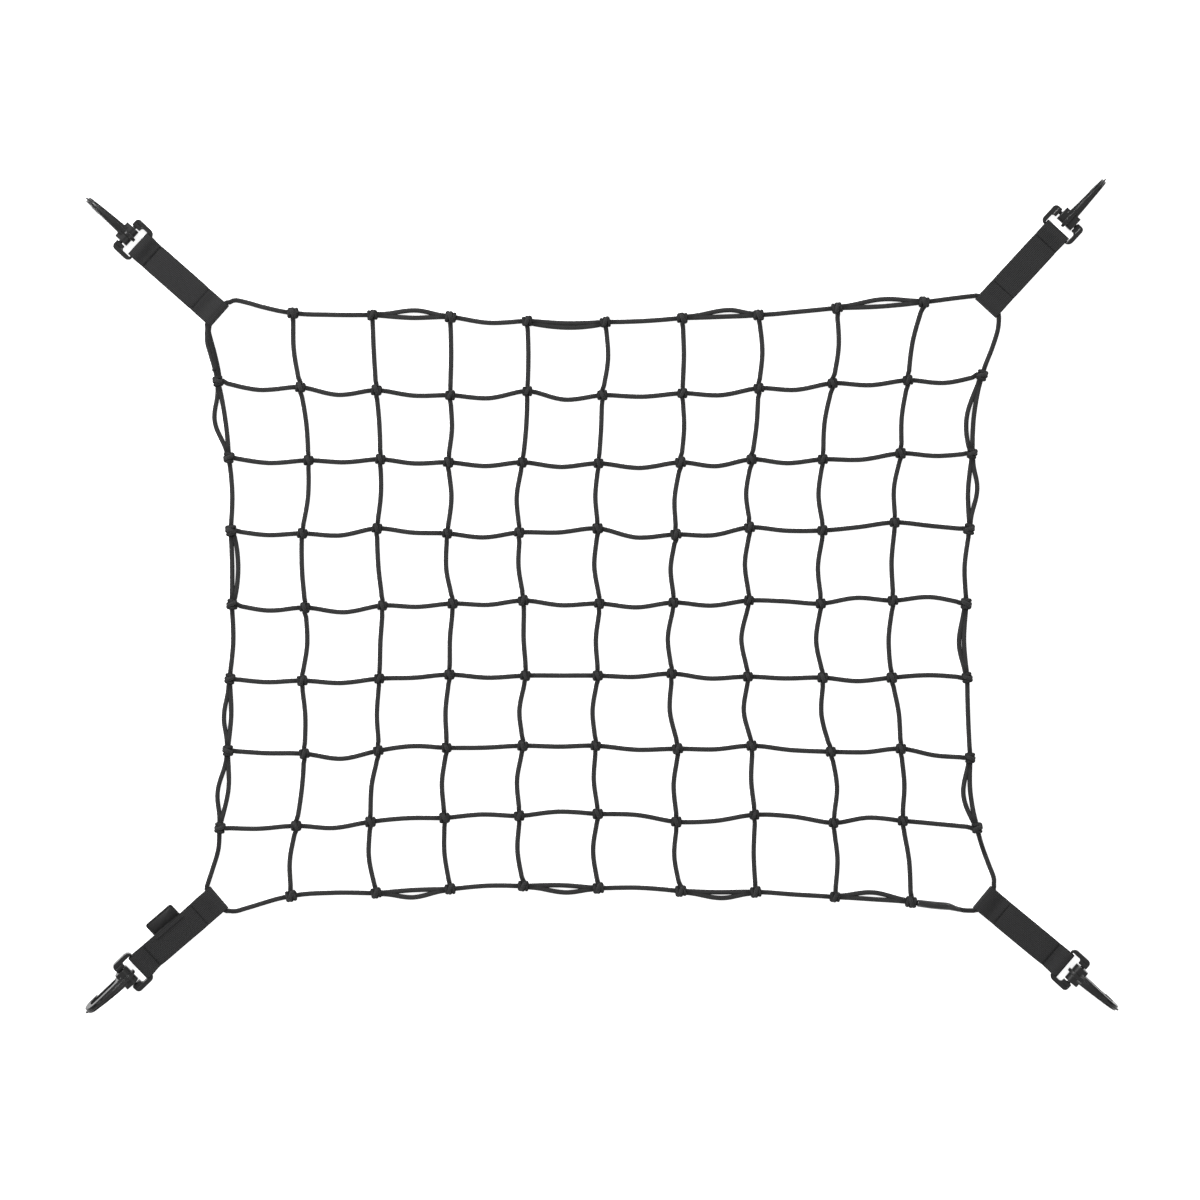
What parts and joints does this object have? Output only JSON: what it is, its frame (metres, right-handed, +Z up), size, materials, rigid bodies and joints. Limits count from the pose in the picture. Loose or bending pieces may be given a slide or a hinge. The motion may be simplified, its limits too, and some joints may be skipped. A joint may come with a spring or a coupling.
{
  "type": "cargo net",
  "caption": "Rectangular knotted elastic net, wider than deep, with an edge cord and a sewn webbing strap with a snap hook at each corner.",
  "frame": {"origin": "on the floor under the centre of the laid-out net's bounding box", "axes": "+X along the net's long side, to the right in the picture; +Y up the picture; +Z up from the floor"},
  "size_m": [0.9276, 0.7492, 0.0196],
  "materials": {
    "elastic_cord": "charcoal braided elastic cord, matt with a faint sheen",
    "webbing": "black woven webbing with fine lengthways ribs",
    "hook_plastic": "black moulded plastic, satin to glossy",
    "label": "black soft moulded tab with a raised rim, bare face",
    "sleeve": "smooth black shrunk sleeve"
  },
  "bodies": {
    "root": {"cord_column_0": "elastic_cord", "cord_column_1": "elastic_cord", "cord_column_2": "elastic_cord", "cord_column_3": "elastic_cord", "cord_column_4": "elastic_cord", "cord_column_5": "elastic_cord", "cord_column_6": "elastic_cord", "cord_column_7": "elastic_cord", "cord_column_8": "elastic_cord", "cord_row_1": "elastic_cord", "cord_row_2": "elastic_cord", "cord_row_3": "elastic_cord", "cord_row_4": "elastic_cord", "cord_row_5": "elastic_cord", "cord_row_6": "elastic_cord", "cord_row_7": "elastic_cord", "edge_cord": "elastic_cord", "edge_link_bottom_1": "elastic_cord", "edge_link_bottom_3": "elastic_cord", "edge_link_bottom_5": "elastic_cord", "edge_link_bottom_7": "elastic_cord", "edge_link_corner": "elastic_cord", "edge_link_left_0": "elastic_cord", "edge_link_left_2": "elastic_cord", "edge_link_left_4": "elastic_cord", "edge_link_left_5": "elastic_cord", "edge_link_right_0": "elastic_cord", "edge_link_right_1": "elastic_cord", "edge_link_right_3": "elastic_cord", "edge_link_right_5": "elastic_cord", "edge_link_top_1": "elastic_cord", "edge_link_top_3": "elastic_cord", "edge_link_top_5": "elastic_cord", "edge_link_top_7": "elastic_cord", "hook_base_bl": "hook_plastic", "hook_base_br": "hook_plastic", "hook_base_tl": "hook_plastic", "hook_base_tr": "hook_plastic", "label_tab": "label", "splice_sleeve": "sleeve", "strap_bl": "webbing", "strap_br": "webbing", "strap_tl": "webbing", "strap_tr": "webbing"},
    "hook_tl": {"hook_tl": "hook_plastic"},
    "gate_tl": {"hook_gate_tl": "hook_plastic"},
    "hook_tr": {"hook_tr": "hook_plastic"},
    "gate_tr": {"hook_gate_tr": "hook_plastic"},
    "hook_bl": {"hook_bl": "hook_plastic"},
    "gate_bl": {"hook_gate_bl": "hook_plastic"},
    "hook_br": {"hook_br": "hook_plastic"},
    "gate_br": {"hook_gate_br": "hook_plastic"}
  },
  "joints": [
    {"name": "hook_tl_swing", "type": "hinge", "parent": "root", "child": "hook_tl", "pos_m": [-0.42587, 0.32441, 0.00672], "axis": [-0.6595, -0.7476, 0.0785], "range_deg": [-115, 120]},
    {"name": "gate_tl_open", "type": "hinge", "parent": "hook_tl", "child": "gate_tl", "pos_m": [-0.43374, 0.33079, 0.00256], "axis": [-0.6595, -0.7476, 0.0785], "range_deg": [-14, 0], "stiffness_Nm_per_rad": 0.02, "springref_deg": 11.46},
    {"name": "hook_tr_swing", "type": "hinge", "parent": "root", "child": "hook_tr", "pos_m": [0.41841, 0.33824, 0.00625], "axis": [-0.7356, 0.6772, 0.0175], "range_deg": [-115, 120]},
    {"name": "gate_tr_open", "type": "hinge", "parent": "hook_tr", "child": "gate_tr", "pos_m": [0.42553, 0.3455, 0.00215], "axis": [-0.7356, 0.6772, 0.0175], "range_deg": [-14, 0], "stiffness_Nm_per_rad": 0.02, "springref_deg": 11.46},
    {"name": "hook_bl_swing", "type": "hinge", "parent": "root", "child": "hook_bl", "pos_m": [-0.42548, -0.34193, 0.00794], "axis": [0.6218, -0.7265, -0.2924], "range_deg": [-115, 120]},
    {"name": "gate_bl_open", "type": "hinge", "parent": "hook_bl", "child": "gate_bl", "pos_m": [-0.43455, -0.3467, 0.00391], "axis": [0.6218, -0.7265, -0.2924], "range_deg": [-14, 0], "stiffness_Nm_per_rad": 0.02, "springref_deg": 11.46},
    {"name": "hook_br_swing", "type": "hinge", "parent": "root", "child": "hook_br", "pos_m": [0.42547, -0.34005, 0.00702], "axis": [0.631, 0.7661, 0.1219], "range_deg": [-115, 120]},
    {"name": "gate_br_open", "type": "hinge", "parent": "hook_br", "child": "gate_br", "pos_m": [0.43378, -0.34584, 0.00284], "axis": [0.631, 0.7661, 0.1219], "range_deg": [-14, 0], "stiffness_Nm_per_rad": 0.02, "springref_deg": 11.46}
  ]
}
